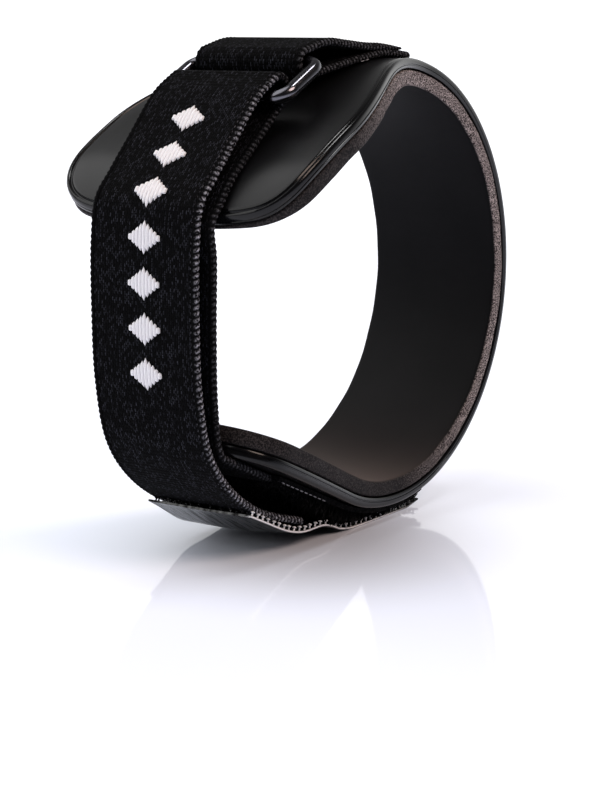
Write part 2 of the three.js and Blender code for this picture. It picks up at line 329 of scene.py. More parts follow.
def nylon(name, low, high, grain_size, roughness, gloss, edge=None, drawn=1.0, relief=0.1):
    """A nylon or thread: its grain, in mm and drawn out along the tape, changes colour, bump and gloss."""
    material, tree, out = new_material(name)
    where = add_node(tree, "TexCoord").outputs["Object"]
    where = add_node(tree, "VectorMath", {"operation": "MULTIPLY"}, in_0=where,
                     in_1=(1 / drawn, 1, 1 / drawn))
    grain = add_node(tree, "TexNoise", Vector=where.outputs["Vector"], Scale=per_mm(grain_size), Detail=3.0)
    colour = blend(tree, grain.outputs["Fac"], linear(low), linear(high))
    # painted highlight: the edge colour goes where the mark called edge says
    if edge:
        colour = blend(tree, mark(tree, "edge"), colour, linear(edge))
    bump = add_node(tree, "Bump", Strength=0.3, Distance=relief * MM, Height=grain.outputs["Fac"])
    shine = add_node(tree, "MapRange", Value=grain.outputs["Fac"], From_Min=0.4, From_Max=0.62,
                     To_Min=gloss * 0.15, To_Max=gloss * 1.8)
    coat(tree, out, Base_Color=colour, Roughness=roughness, IOR=1.53,
         Specular_IOR_Level=shine.outputs["Result"], Normal=bump.outputs["Normal"])
    return material


wire_finish = black_nickel()
# the hook nylon's near-white edge colour is a painted highlight
hook_nylon = nylon("moulded_hook_nylon", "#050506", "#0a0a0c", 1.3, 0.16, 0.4, edge="#f2f2f6", drawn=6.0,
                   relief=1.2)
pile_nylon = nylon("brushed_pile_nylon", "#030304", "#0a0a0c", 0.4, 0.95, 0.1)
pale_thread = nylon("spun_polyester_thread_pale", "#e2e0e4", "#fbf9fb", 0.25, 0.7, 0.3)
sewing_thread = nylon("spun_polyester_thread_grey", "#77757a", "#a9a6aa", 0.25, 0.7, 0.3)
print("finishes:", [made.name for made in (wire_finish, hook_nylon, pile_nylon, pale_thread, sewing_thread)])

# %% [markdown]
# The band could be bent by a modifier, but a formula is exact: walking along its inner face, the
# heading falls evenly on the top arm, evenly and faster round the back, and stays on the bottom arm.
# Adding up small steps in that heading gives the line, which is then moved so that the round back is
# centred.

# %% The band's line seen from the side
WALK, OVERRUN = 0.05, 3


def band_line():
    """Length, x, z and heading of the inner face: the heading is a broken line, the place its running sum."""
    length = np.arange(-OVERRUN, BAND_LENGTH + OVERRUN, WALK)
    joints = np.cumsum([0, TOP_ARM["length"], BACK_LENGTH])
    so_far = np.interp(length, joints, [0, TOP_ARM["turn"], TOP_ARM["turn"] + BACK_TURN])
    heading = np.radians(TOP_ARM["lean"] + TOP_ARM["turn"] - so_far)
    x, z = np.cumsum(np.cos(heading)) * WALK, np.cumsum(np.sin(heading)) * WALK
    lean = np.radians(TOP_ARM["lean"])
    x += -BACK_RADIUS * np.sin(lean) - np.interp(joints[1], length, x)
    z += BACK_RADIUS * np.cos(lean) - np.interp(joints[1], length, z)
    return length, x, z, heading


LINE = band_line()


def on_band(length, offset):
    """x and z at lengths along the band, raised from the inner face along its normal. Near the top pad's tip
    the foam thins by the square of the nearness, and what lies on it sinks as far."""
    heading = np.interp(length, LINE[0], LINE[3])
    drop = TIP_ROLL["drop"] * np.clip(1 - length / TIP_ROLL["length"], 0, 1) ** 2
    raised = offset - drop * np.clip(offset / LINER_THICKNESS, 0, 1)
    x = np.interp(length, LINE[0], LINE[1]) - raised * np.sin(heading)
    z = np.interp(length, LINE[0], LINE[2]) + raised * np.cos(heading)
    return x, z


def on_back(angle):
    """Length along the band of a place on the round back, in degrees clockwise from the top."""
    return TOP_ARM["length"] + BACK_RADIUS * np.radians(TOP_ARM["lean"] + angle)


print("tips of the inner face:", np.round(on_band(np.array([0, BAND_LENGTH]), 0), 1).tolist())

# %% [markdown]
# Laid flat, the band is a strip with a broad pad at one end and a small one at the other. A pad's end
# is a superellipse, which is squarer than an ellipse, and a smooth step narrows it to the strip. The
# outline is walked in even steps, so that the rim's bead has faces of one size all round.

# %% The band's outline laid flat
OUTLINE_STEP, END_POINTS = 0.8, 200


def evenly(line, step):
    """Points at even distances along a polyline, by interpolating against its running length."""
    run = np.concatenate([[0], np.cumsum(np.linalg.norm(np.diff(line, axis=0), axis=1))])
    places = np.linspace(0, run[-1], int(np.ceil(run[-1] / step)) + 1)
    return np.stack([np.interp(places, run, line[:, k]) for k in range(line.shape[1])], axis=-1)


def pad_outline(pad, reach):
    """Distance from the tip and half width: powers of cosine and sine for the end, then a smooth step."""
    angle = np.linspace(0, np.pi / 2, END_POINTS)
    end = pad["round"] * (1 - np.cos(angle) ** (2 / pad["power"]))
    end_half = pad["width"] / 2 * np.sin(angle) ** (2 / pad["power"])
    rest = np.arange(pad["round"] + OUTLINE_STEP, reach, OUTLINE_STEP)
    share = np.clip((rest - pad["round"]) / pad["flare"], 0, 1)
    rest_half = STRIP_WIDTH / 2 + (pad["width"] - STRIP_WIDTH) / 2 * (1 - share ** 2 * (3 - 2 * share))
    return np.concatenate([end, rest]), np.concatenate([end_half, rest_half])


def band_outline():
    """Closed outline in length and width, near edge first, and the outward direction at each point."""
    top, top_half = pad_outline(TOP_PAD, BAND_LENGTH / 2)
    bottom, bottom_half = pad_outline(BOTTOM_PAD, BAND_LENGTH / 2)
    length = np.concatenate([top, BAND_LENGTH - bottom[::-1]])
    half = np.concatenate([top_half, bottom_half[::-1]])
    near = np.column_stack([length, -half])
    loop = evenly(np.vstack([near, near[-2::-1] * [1, -1]]), OUTLINE_STEP)[:-1]
    along = np.roll(loop, -1, axis=0) - np.roll(loop, 1, axis=0)
    along /= np.linalg.norm(along, axis=1)[:, None]
    return loop, np.column_stack([along[:, 1], -along[:, 0]])


OUTLINE, OUTLINE_OUT = band_outline()
print("outline of", len(OUTLINE), "points, widest", round(np.ptp(OUTLINE[:, 1]), 1), "mm")

# %% [markdown]
# Shell and liner share one surface: round the outline one way, and the other way from the spine of the
# inner face out to the edge, over the rim and back to the spine on the outer face. The rim is a short
# table of insets from the edge and heights, so the bead and its groove run round the tips as well. The
# two halves meet on the spine, where their doubled points are merged.

# %% A sheet that follows the outline
SPINE_ENDS = (20.0, BAND_LENGTH - 11.0)
SPAN_COLUMNS = 9


def outlined_sheet(rim, base, ripple=None):
    """Grid of points: the outline moves inwards by the rim's insets, then in equal shares to the spine."""
    edge = OUTLINE if ripple is None else OUTLINE + OUTLINE_OUT * ripple[:, None]
    spine = np.column_stack([np.clip(edge[:, 0], *SPINE_ENDS), np.zeros(len(edge))])
    rim = np.asarray(rim)
    over = edge[:, None] - OUTLINE_OUT[:, None] * rim[None, :, :1]
    share = np.linspace(1, 0, SPAN_COLUMNS, endpoint=False)[None, :, None]
    inside = over[:, :1] + (spine[:, None] - over[:, :1]) * share
    outside = over[:, -1:] + (spine[:, None] - over[:, -1:]) * share[:, ::-1]
    flat = np.concatenate([inside, over, outside], axis=1)
    levels = [np.full(SPAN_COLUMNS, rim[0, 1]), rim[:, 1], np.full(SPAN_COLUMNS, rim[-1, 1])]
    x, z = on_band(flat[..., 0], base + np.concatenate(levels)[None, :])
    return np.stack([x, flat[..., 1], z], axis=-1)


# %% [markdown]
# The shell is two millimetres thick. Its rim is rolled into a low bead with a groove inside it, and
# those catch the thin bright lines that run along its edge. A second, finer groove runs along the side
# wall.

# %% Shell
SHELL_RIM = [
    (0.5, 0.0), (0.12, 0.06), (0.0, 0.25), (0.0, 0.6), (0.16, 0.7), (0.16, 0.84), (0.0, 0.94), (0.0, 1.35),
    (0.06, 1.68), (0.22, 1.96), (0.46, 2.08), (0.7, 2.0), (0.88, 1.78), (1.02, 1.58), (1.16, 1.56),
    (1.32, 1.76), (1.52, 1.94), (1.9, SHELL_THICKNESS),
]
shell_points = outlined_sheet(SHELL_RIM, LINER_THICKNESS + SEAT)
bead = np.concatenate([np.zeros(SPAN_COLUMNS), np.ones(len(SHELL_RIM) - 1), np.zeros(SPAN_COLUMNS + 1)])
shell = add_piece("shell_moulding", shell_points, grid_faces(*shell_points.shape[:2], wrap_rows=True),
                  shell_plastic, marks={"bead": np.tile(bead, len(OUTLINE))}, merge=True)
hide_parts("shell")

# %% [markdown]
# The liner is cut from sheet foam, flush with the shell. A knife never follows the line quite evenly, so a
# few slow waves of less than a tenth of a millimetre move the cut in and out. Towards both tips the cut's
# pale speckle fades out as painted shade, so that the edge there looks nearly black.

# %% Foam liner
LINER_RIM = [
    (0.9, 0.0), (0.35, 0.03), (0.1, 0.16), (0.0, 0.45), (0.0, 1.2), (0.0, 2.0), (0.0, 2.75), (0.1, 3.05),
    (0.35, LINER_THICKNESS), (0.9, LINER_THICKNESS),
]
CUT_MARKS = [0, 0, 0.7, 1, 1, 1, 1, 1, 1, 1]
# where the painted light on the inner face's skin lies, and how far it spreads
LIT_PATCH_AT, LIT_PATCH_SPREAD = 200, 21
# painted shade on the cut edge: full speckle round the back, fading to nearly black at both tips
LIT_MIDDLE, LIT_REACH, SHADE_RUN, SHADED_CUT = 62, 50, 32, 0.08
SLOW_WAVE, SLOW_COUNT, QUICK_WAVE, QUICK_COUNT = 0.05, 23, 0.04, 57
walk = np.arange(len(OUTLINE)) * 2 * np.pi / len(OUTLINE)
ripple = SLOW_WAVE * np.sin(SLOW_COUNT * walk) + QUICK_WAVE * np.sin(QUICK_COUNT * walk + 1) - SLOW_WAVE
liner_points = outlined_sheet(LINER_RIM, 0.0, ripple)
cut = np.concatenate([np.zeros(SPAN_COLUMNS), CUT_MARKS, np.ones(SPAN_COLUMNS)])
# painted shade: how much of the cut's pale speckle is left along the outline
from_middle = np.abs(OUTLINE[:, 0] - on_back(LIT_MIDDLE))
tip_shade = np.clip((from_middle - LIT_REACH) / SHADE_RUN, 0, 1)
cut_speckle = 1 - (1 - SHADED_CUT) * tip_shade
lit_patch = np.exp(-((OUTLINE[:, 0] - on_back(LIT_PATCH_AT)) / LIT_PATCH_SPREAD) ** 2)
liner_marks = {"cut": np.outer(cut_speckle, cut).ravel(), "painted_light_patch": np.outer(lit_patch, 1 - cut).ravel()}
liner = add_piece("foam_lining", liner_points, grid_faces(*liner_points.shape[:2], wrap_rows=True), foam,
                  marks=liner_marks, merge=True)
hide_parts("foam_liner")

# %% [markdown]
# Each strap is first a line seen from the side. The free stretches pass through a few given places, on a
# centripetal Catmull-Rom curve, which never overshoots between them. At the ring the line is an arc, and the
# long strap's arc is slack: it bends a little beyond the ring's lower bar. Pieces of line are joined and then
# spaced evenly, because the weave is spaced along them.

# %% Lines of the straps
STRAP_WIDTH, STRAP_THICKNESS = 25.0, 1.5
TAPE_THICKNESS, PATCH_WIDTH, PATCH_THICKNESS = 0.8, 28.0, 1.9
WIRE = 2.8
ON_SHELL = BAND + SEAT + STRAP_THICKNESS / 2
FOLD_RADIUS = WIRE / 2 + SEAT + STRAP_THICKNESS / 2
LOWER_BAR, UPPER_BAR = np.array([-40.3, 39.2]), np.array([-28.3, 45.3])
SLACK_BEND = np.array([-38.2, 40.7])
CLOTH_STEP, CURVE_STEPS, FOLD_STEPS = 0.15, 80, 40


def smooth(places, step=CLOTH_STEP):
    """Centripetal Catmull-Rom curve: cubics whose slopes weigh neighbours by the roots of their distances."""
    p = np.asarray(places, float)
    p = np.vstack([2 * p[0] - p[1], p, 2 * p[-1] - p[-2]])
    way = np.diff(p, axis=0)
    root = np.sqrt(np.linalg.norm(way, axis=1))[:, None]
    first, span, last = root[:-2], root[1:-1], root[2:]
    a, b, c = way[:-2], way[1:-1], way[2:]
    leave = span * (a / first - (a + b) / (first + span) + b / span)
    arrive = span * (b / span - (b + c) / (span + last) + c / last)
    u = np.linspace(0, 1, CURVE_STEPS, endpoint=False)[None, :, None]
    line = p[1:-2, None] + u * leave[:, None] + u ** 2 * (3 * b - 2 * leave - arrive)[:, None]
    line = line + u ** 3 * (leave + arrive - 2 * b)[:, None]
    return evenly(np.vstack([line.reshape(-1, 2), p[-2]]), step)


def fold(middle, arrive, leave, side):
    """Arc round a middle, from heading to heading in degrees; side is 1 for a right turn, -1 for a left."""
    turn = np.mod((arrive - leave) * side, 360) * side
    heading = np.radians(arrive - turn * np.linspace(0, 1, FOLD_STEPS))
    return middle + side * FOLD_RADIUS * np.column_stack([-np.sin(heading), np.cos(heading)])


def on_shell(lengths):
    """Places of a strap that lies on the outside of the shell."""
    return np.column_stack(on_band(np.asarray(lengths, float), ON_SHELL))


def folded_line(arriving, bend, leaving):
    """A smooth way in, the fold, and a smooth way out, spaced evenly."""
    way_in, way_out = smooth(np.vstack([arriving, bend[:1]])), smooth(np.vstack([bend[-1:], leaving]))
    return evenly(np.vstack([way_in[:-1], bend, way_out[1:]]), CLOTH_STEP)


STRAP_UP = [(-56.2, -25.8), (-58.2, -17), (-59.2, -2), (-59.5, 11), (-60.25, 17.3)]
STRAP_DOWN = [
    (-44.6, 39.6), (-52, 31.6), (-57.4, 25.6), (-61.3, 20.9), (-62.4, 13), (-62.6, 0), (-62, -13),
    (-59.3, -24.8), (-53.8, -32.3), (-44, -39.1), (-29.2, -44.1),
]
ANCHOR_TOP = [(-21.6, 49.15), (-14, 48.7), (-8, 48.2), (0, 47.95), (5, 47.6)]
STRAP_TURN, ANCHOR_TURN = (36, 200, -1), (188, 12, 1)  # headings in and out, and the side
ANCHOR_SEWN_AT = np.array([10, 0, -12])
SEWN_LENGTH, PAD_REST, TIP_MARGIN = 16.0, 13.0, 2.0
sewn = on_shell(BAND_LENGTH - np.array([SEWN_LENGTH, SEWN_LENGTH / 2, TIP_MARGIN]))
on_pad = on_shell([TIP_MARGIN, (TIP_MARGIN + PAD_REST) / 2, PAD_REST])
strap_fold = fold(SLACK_BEND, *STRAP_TURN)
strap_line = folded_line(np.vstack([sewn, STRAP_UP, on_pad]), strap_fold, STRAP_DOWN)
anchor_line = folded_line(on_shell(on_back(ANCHOR_SEWN_AT)), fold(UPPER_BAR, *ANCHOR_TURN), ANCHOR_TOP)
line_lengths = [round(len(line) * CLOTH_STEP) for line in (strap_line, anchor_line)]
print("strap and anchor strap, in mm:", line_lengths)

# %% [markdown]
# A strap is a profile carried along its line. The profile has two flat faces and, at each edge, a round
# cord: the selvage, where the weft turns back. The cord is twisted, so its radius rises and falls along
# the strap and round the cord at once. The faces carry the low ribs of the weft. A strap may drift
# sideways along its way, and it may be pressed thin where it is sewn down.

# %% Webbing carried along a line
FACE_COLUMNS, CORD_COLUMNS = 12, 13
CORD_RADIUS, CORD_ROOM, CORD_OPEN = 0.77, 1.75, 128
TWIST_PITCH, TWIST_DEPTH, TWIST_LEAN = 1.15, 0.07, 1.3
STRAND_MEAN, STRAND_SWING = 0.4, 0.6
RIB_PITCH, RIB_DEPTH = 0.85, 0.03
# painted light on the cords: the far cord's share, and how the share rises towards a cord's outward side
SHADED_FAR_EDGE, LIT_SIDE_GAIN, LIT_SIDE_LESS = 0.15, 1.7, 0.5


def line_frame(line):
    """Running length and the normal of a line seen from the side."""
    along = np.gradient(line, axis=0)
    along /= np.linalg.norm(along, axis=1)[:, None]
    run = np.concatenate([[0], np.cumsum(np.linalg.norm(np.diff(line, axis=0), axis=1))])
    return run, np.column_stack([-along[:, 1], along[:, 0]])


def webbing_profile(width, thickness):
    """Across, height, their outward direction, the angle on a cord and a mark that is 1 there, all round."""
    flat = width / 2 - CORD_ROOM * CORD_RADIUS
    middle = width / 2 - CORD_RADIUS
    across = np.linspace(-flat, flat, FACE_COLUMNS)
    angle = np.radians(np.linspace(CORD_OPEN, -CORD_OPEN, CORD_COLUMNS))
    ones, zeros = np.ones(FACE_COLUMNS), np.zeros(FACE_COLUMNS)
    far = [middle + CORD_RADIUS * np.cos(angle), CORD_RADIUS * np.sin(angle), np.cos(angle), np.sin(angle)]
    near = [-far[0][::-1], far[1][::-1], -far[2][::-1], far[3][::-1]]
    top = [across, ones * thickness / 2, zeros, ones]
    under = [across[::-1], -ones * thickness / 2, zeros, -ones]
    parts = [np.concatenate(row) for row in zip(top, far, under, near)]
    cord = np.concatenate([zeros, np.ones(CORD_COLUMNS), zeros, np.ones(CORD_COLUMNS)])
    angles = np.concatenate([zeros, angle, zeros, angle[::-1]])
    return (*parts, angles, cord)


def webbing(name, line, width, thickness, material, drift=0.0, press=1.0, lit_share=1.0):
    """Surface of line and profile: ribs are a cosine of the length, twist a cosine of length plus angle."""
    across, height, out_across, out_height, angle, cord = webbing_profile(width, thickness)
    run, normal = line_frame(line)
    turns = 2 * np.pi * run[:, None]
    strand = np.cos(turns / TWIST_PITCH + TWIST_LEAN * angle)
    twist = TWIST_DEPTH * strand
    ribs = RIB_DEPTH * np.cos(turns / RIB_PITCH)
    raise_by = np.where(cord > 0, twist, ribs)
    y = across + out_across * raise_by + np.reshape(drift, (-1, 1))
    h = (height + out_height * raise_by) * np.reshape(press, (-1, 1))
    x = line[:, :1] + normal[:, :1] * h
    z = line[:, 1:] + normal[:, 1:] * h
    points = np.stack([x, y, z], axis=-1)
    rows, columns = points.shape[:2]
    round_it = np.concatenate([[0], np.cumsum(np.hypot(np.diff(across), np.diff(height)))])
    uv = np.stack(np.broadcast_arrays(run[:, None], round_it[None, :]), axis=-1)
    caps = [np.arange(columns)[::-1], (rows - 1) * columns + np.arange(columns)]
    # painted light: the cord's pale strands show fully only on the outward side of the near cord of a lit
    # layer
    lit_side = np.clip(LIT_SIDE_GAIN * np.cos(angle) - LIT_SIDE_LESS, 0, 1)
    painted_light = np.reshape(lit_share, (-1, 1)) * np.where(across < 0, 1, SHADED_FAR_EDGE) * lit_side
    lit = np.clip(STRAND_MEAN + STRAND_SWING * strand, 0, 1)
    cord_marks = {"selvage": np.tile(cord, rows), "twist": lit * painted_light}
    return add_piece(name, points, grid_faces(rows, columns, wrap_columns=True), material, caps, uv,
                     cord_marks)


# %% [markdown]
# The long strap and the short anchor strap are cut from the same webbing. The ring's slot is wider than the
# strap, so the layer under the fold has slid sideways by a millimetre or so. The anchor's end is pressed
# flat. The cord of the layer that lies outside gets the full painted light, and the covered layers get much
# less, which paints them into shade.

# %% Strap and anchor strap
DRIFT_AT_RING, DRIFT_AT_TIP, DRIFT_BELOW = -0.8, -1.5, 0.6
DRIFT_RISE, DRIFT_REACH = 45.0, 40.0
PRESSED, PRESSED_LENGTH = 0.4, 8.0
# painted shade: the covered strap layers and the anchor get only part of the cords' painted light
SHADED_LAYER_LIGHT, ANCHOR_LIGHT = 0.2, 0.35


def run_to(line, place):
    """Length along a strap's line up to its nearest point to a place."""
    return np.argmin(np.linalg.norm(line - place, axis=1)) * CLOTH_STEP


turning_places = on_pad[0], strap_fold[0], strap_fold[-1]
tip_run, fold_start, fold_end = (run_to(strap_line, place) for place in turning_places)
strap_run = np.arange(len(strap_line)) * CLOTH_STEP
slid = np.interp(strap_run, [tip_run - DRIFT_RISE, tip_run, fold_start, fold_end + DRIFT_REACH],
                 [0, DRIFT_AT_TIP, DRIFT_AT_RING, DRIFT_BELOW])
lit_share = np.where(strap_run > fold_end, 1.0, SHADED_LAYER_LIGHT)
strap = webbing("elastic_strap", strap_line, STRAP_WIDTH, STRAP_THICKNESS, strap_elastic,
                drift=slid, lit_share=lit_share)
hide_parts("strap")
to_end = (len(anchor_line) - 1 - np.arange(len(anchor_line))) * CLOTH_STEP
flattened = PRESSED + (1 - PRESSED) * np.clip(to_end / PRESSED_LENGTH, 0, 1)
anchor = webbing("anchor_webbing", anchor_line, STRAP_WIDTH, STRAP_THICKNESS, strap_elastic,
                 press=flattened, lit_share=ANCHOR_LIGHT)
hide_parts("anchor_strap")

# %% [markdown]
# The ring is one wire bent to a rounded rectangle. A tube needs a direction across its path: here the
# path is flat, so the outward direction in its plane and the plane's own normal do for the whole way
# round.

# %% Wire ring
RING_SLOT, RING_CORNER, RING_SHIFT = STRAP_WIDTH + 1.5, 3.0, -0.4
RING_SIDES, RING_STEP, CORNER_POINTS = 24, 0.3, 30


def rounded_rectangle(half_long, half_short, radius):
    """Closed path: four quarter circles about the corners, joined by straights, spaced evenly."""
    angle = np.linspace(0, np.pi / 2, CORNER_POINTS)
    corners = np.array([(1, 1), (-1, 1), (-1, -1), (1, -1)]) * [half_short - radius, half_long - radius]
    quarter = angle[None, :] + np.pi / 2 * np.arange(4)[:, None]
    path = corners[:, None] + radius * np.stack([np.cos(quarter), np.sin(quarter)], axis=-1)
    path = path.reshape(-1, 2)
    return evenly(np.vstack([path, path[:1]]), RING_STEP)[:-1]


bar_to_bar = UPPER_BAR - LOWER_BAR
ring_path = rounded_rectangle((RING_SLOT + WIRE) / 2, np.linalg.norm(bar_to_bar) / 2, RING_CORNER)
ring_along = np.roll(ring_path, -1, axis=0) - np.roll(ring_path, 1, axis=0)
ring_along /= np.linalg.norm(ring_along, axis=1)[:, None]
ring_out = np.column_stack([ring_along[:, 1], -ring_along[:, 0]])
side_angle = np.linspace(0, 2 * np.pi, RING_SIDES, endpoint=False)
in_plane = ring_path[:, None] + WIRE / 2 * np.cos(side_angle)[None, :, None] * ring_out[:, None]
off_plane = np.broadcast_to(WIRE / 2 * np.sin(side_angle), in_plane.shape[:2])
slope_x, slope_z = bar_to_bar / np.linalg.norm(bar_to_bar)
ring_middle = (UPPER_BAR + LOWER_BAR) / 2
ring_points = np.stack([
    ring_middle[0] + in_plane[..., 0] * slope_x - off_plane * slope_z,
    in_plane[..., 1] + RING_SHIFT,
    ring_middle[1] + in_plane[..., 0] * slope_z + off_plane * slope_x,
], axis=-1)
ring_faces = grid_faces(*ring_points.shape[:2], wrap_rows=True, wrap_columns=True)
ring = add_piece("wire_ring", ring_points, ring_faces, wire_finish)
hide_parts("strap_ring")

# %% [markdown]
# The hook tape is a thin shiny backing with a field of little mushroom hooks on its upper face. It lies
# flat where the band stands and bends up to a loose end on the left. Its near edge lifts in one soft
# wave, and its far side sags where nothing holds it. The backing is a profile along a line, like the
# straps. The hooks are one small turned shape, copied to every place of a grid.

# %% Hook tape
TAPE_ROWS = [(-47.5, -39), (-42, -41.3), (-34, -44.6), (-25, -47.3)]
FOOT_FROM, FOOT_TO, TAPE_CUT_END = -17.0, 9.0, (13.4, -47.8)
FOOT_Z = -(OUTER_RADIUS + SEAT + PATCH_THICKNESS + SEAT + TAPE_THICKNESS / 2)
BACKING, STRIP_EDGE, TAPE_COLUMNS = 0.45, 0.12, 15
TAPE_CURVE_STEP, TAPE_STEP = 0.5, 0.4
WAVE_LIFT, WAVE_AT, WAVE_SPREAD = 1.85, -22.3, 6.0
SAG_DROP, SAG_AT, SAG_SPREAD, SAG_INSET = 1.8, -37.0, 7.5, 1.2
# how far the painted highlight runs along the tape's near edge, and how deep into it
GLINT_UNTIL, GLINT_FADE, GLINT_DEPTH = -2.0, 14.0, 0.1
loose_end = smooth(TAPE_ROWS + [(FOOT_FROM, FOOT_Z)], TAPE_CURVE_STEP)
tape_line = evenly(np.vstack([loose_end, [(FOOT_TO, FOOT_Z), TAPE_CUT_END]]), TAPE_STEP)


def tape_lift(x, y):
    """Height added to the tape: a bell along its near edge, and farther in less a wider bell."""
    towards_near = np.clip(-y / (STRAP_WIDTH / 2), 0, 1) ** 2
    farther_in = np.clip(SAG_INSET + 2 * y / STRAP_WIDTH, 0, 1)
    wave = WAVE_LIFT * np.exp(-((x - WAVE_AT) / WAVE_SPREAD) ** 2) * towards_near
    return wave - SAG_DROP * np.exp(-((x - SAG_AT) / SAG_SPREAD) ** 2) * farther_in


def painted_glint_share(x):
    """How much painted highlight the near edge gets: whole from the loose end to where the band stands, and
    fading past it.
    """
    return np.clip((GLINT_UNTIL + GLINT_FADE - x) / GLINT_FADE, 0, 1)


def strip(line, width, low, high, columns):
    """Thin strip along a line: a rectangle with slightly rounded edges, from one height to another."""
    across = np.linspace(-width / 2, width / 2, columns)
    edge = min(STRIP_EDGE, (high - low) / 3)
    y = np.concatenate([across, [width / 2 + edge] * 2, across[::-1], [-width / 2 - edge] * 2])
    top, under = np.full(columns, high), np.full(columns, low)
    h = np.concatenate([top, [high - edge, low + edge], under, [low + edge, high - edge]])
    normal = line_frame(line)[1]
    x = line[:, :1] + normal[:, :1] * h
    z = line[:, 1:] + normal[:, 1:] * h
    points = np.stack(np.broadcast_arrays(x, y[None, :], z), axis=-1).copy()
    rows, count = points.shape[:2]
    caps = [np.arange(count)[::-1], (rows - 1) * count + np.arange(count)]
    return points, caps


TAPE_UNDER = -TAPE_THICKNESS / 2
TAPE_TOP = BACKING - TAPE_THICKNESS / 2
tape_points, tape_caps = strip(tape_line, STRAP_WIDTH - 2 * STRIP_EDGE, TAPE_UNDER, TAPE_TOP, TAPE_COLUMNS)
tape_points[..., 2] += tape_lift(tape_points[..., 0], tape_points[..., 1])
# painted highlight along the tape's near edge, fading where the tape turns away from the light
painted_glint_mark = (tape_points[..., 1] < -STRAP_WIDTH / 2 + GLINT_DEPTH) * painted_glint_share(tape_points[..., 0])
tape_faces = grid_faces(*tape_points.shape[:2], wrap_columns=True)
tape = add_piece("hook_tape_backing", tape_points, tape_faces, hook_nylon, tape_caps,
                 marks={"edge": painted_glint_mark})
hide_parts("hook_tape")

# %% [markdown]
# One hook is a stem with a rounded cap, turned from a short profile with eight sides. Each copy stands
# on the backing along its normal, and small random turns and lengths, from a fixed seed, keep the rows
# from looking drawn.

# %% Hooks on the tape
HOOK_PITCH, ROW_PITCH, HOOK_STRAY = 1.9, 1.25, 0.45
HOOK_PROFILE = np.array([
    (0.24, 0.0), (0.17, 0.3), (0.17, 0.55), (0.4, 0.66), (0.42, 0.78), (0.27, 0.93), (0.02, 0.98),
])
HOOK_SIDES, HOOK_MARGIN, HOOK_TILT, HOOK_HEIGHTS = 8, 0.45, 0.1, (0.92, 1.05)
FIRST_HOOK, LAST_HOOK, FAR_MARGIN = 0.7, 0.4, 0.3
rng = np.random.default_rng(7)


def scatter(name, shape, faces, origin, axes, material, marks=None):
    """Copies of a small shape: each point is an origin plus the shape's three numbers along three axes."""
    points = origin[:, None] + np.einsum("pk,nkj->npj", shape, axes)
    shift = np.arange(len(origin))[:, None, None] * len(shape)
    marks = {label: np.repeat(values, len(shape)) for label, values in (marks or {}).items()}
    all_faces = (faces[None] + shift).reshape(-1, faces.shape[1])
    return add_piece(name, points, all_faces, material, marks=marks)


def turned(profile, sides):
    """Points and faces of a profile of radii and heights turned round an axis."""
    angle = np.linspace(0, 2 * np.pi, sides, endpoint=False)[None, :]
    radius, height = profile[:, :1], profile[:, 1:]
    points = np.stack(np.broadcast_arrays(radius * np.cos(angle), radius * np.sin(angle), height), axis=-1)
    return points.reshape(-1, 3), grid_faces(len(profile), sides, wrap_columns=True)


def standing_on(line, run_at, y, lift):
    """Roots of small shapes on a line's surface, and the directions along it, across it and up from it."""
    run, normal = line_frame(line)
    x, z, up_x, up_z = (np.interp(run_at, run, part) for part in (*line.T, *normal.T))
    level = np.zeros(len(run_at))
    up = np.column_stack([up_x, level, up_z])
    along = np.column_stack([up_z, level, -up_x])
    side = np.tile([0.0, 1.0, 0.0], (len(run_at), 1))
    return np.column_stack([x, y, z]) + up * lift, along, side, up


hook_shape, hook_faces = turned(HOOK_PROFILE, HOOK_SIDES)
tape_length = line_frame(tape_line)[0][-1]
hook_run = np.arange(FIRST_HOOK, tape_length - LAST_HOOK, HOOK_PITCH)
hook_y = np.arange(-STRAP_WIDTH / 2 + HOOK_MARGIN, STRAP_WIDTH / 2 - FAR_MARGIN, ROW_PITCH)
run_grid, y_grid = (part.ravel() for part in np.meshgrid(hook_run, hook_y))
behind_first = y_grid > hook_y[0]
stagger = HOOK_PITCH / 2 * (np.round((y_grid - hook_y[0]) / ROW_PITCH) % 2)
run_grid = run_grid + behind_first * (stagger + rng.uniform(-HOOK_STRAY, HOOK_STRAY, len(run_grid)))
run_grid = np.clip(run_grid, HOOK_MARGIN, tape_length - HOOK_MARGIN)
hook_root, along, side, up = standing_on(tape_line, run_grid, y_grid, TAPE_TOP)
hook_root[:, 2] += tape_lift(hook_root[:, 0], hook_root[:, 1])
tilt = rng.normal(0, HOOK_TILT, (len(run_grid), 2))
lean_up = up + along * tilt[:, :1] + side * tilt[:, 1:]
hook_axes = np.stack([along, side, lean_up * rng.uniform(*HOOK_HEIGHTS, (len(run_grid), 1))], axis=1)
# painted highlight on the first row of hooks, fading the same way
first_row_glint = (y_grid == hook_y[0]) * painted_glint_share(hook_root[:, 0])
hooks = scatter("hook_field", hook_shape, hook_faces, hook_root, hook_axes, hook_nylon,
                {"edge": first_row_glint})

# %% [markdown]
# The pile patch under the heel is a felt-like knit. Its backing is a strip on the shell, thinner than
# the solid, and the rest of the thickness is loops: small arches of thread in every direction, which
# make the soft dark fringe. Where the tape leaves the shell nothing presses them, so there they stand
# up and fill the wedge.

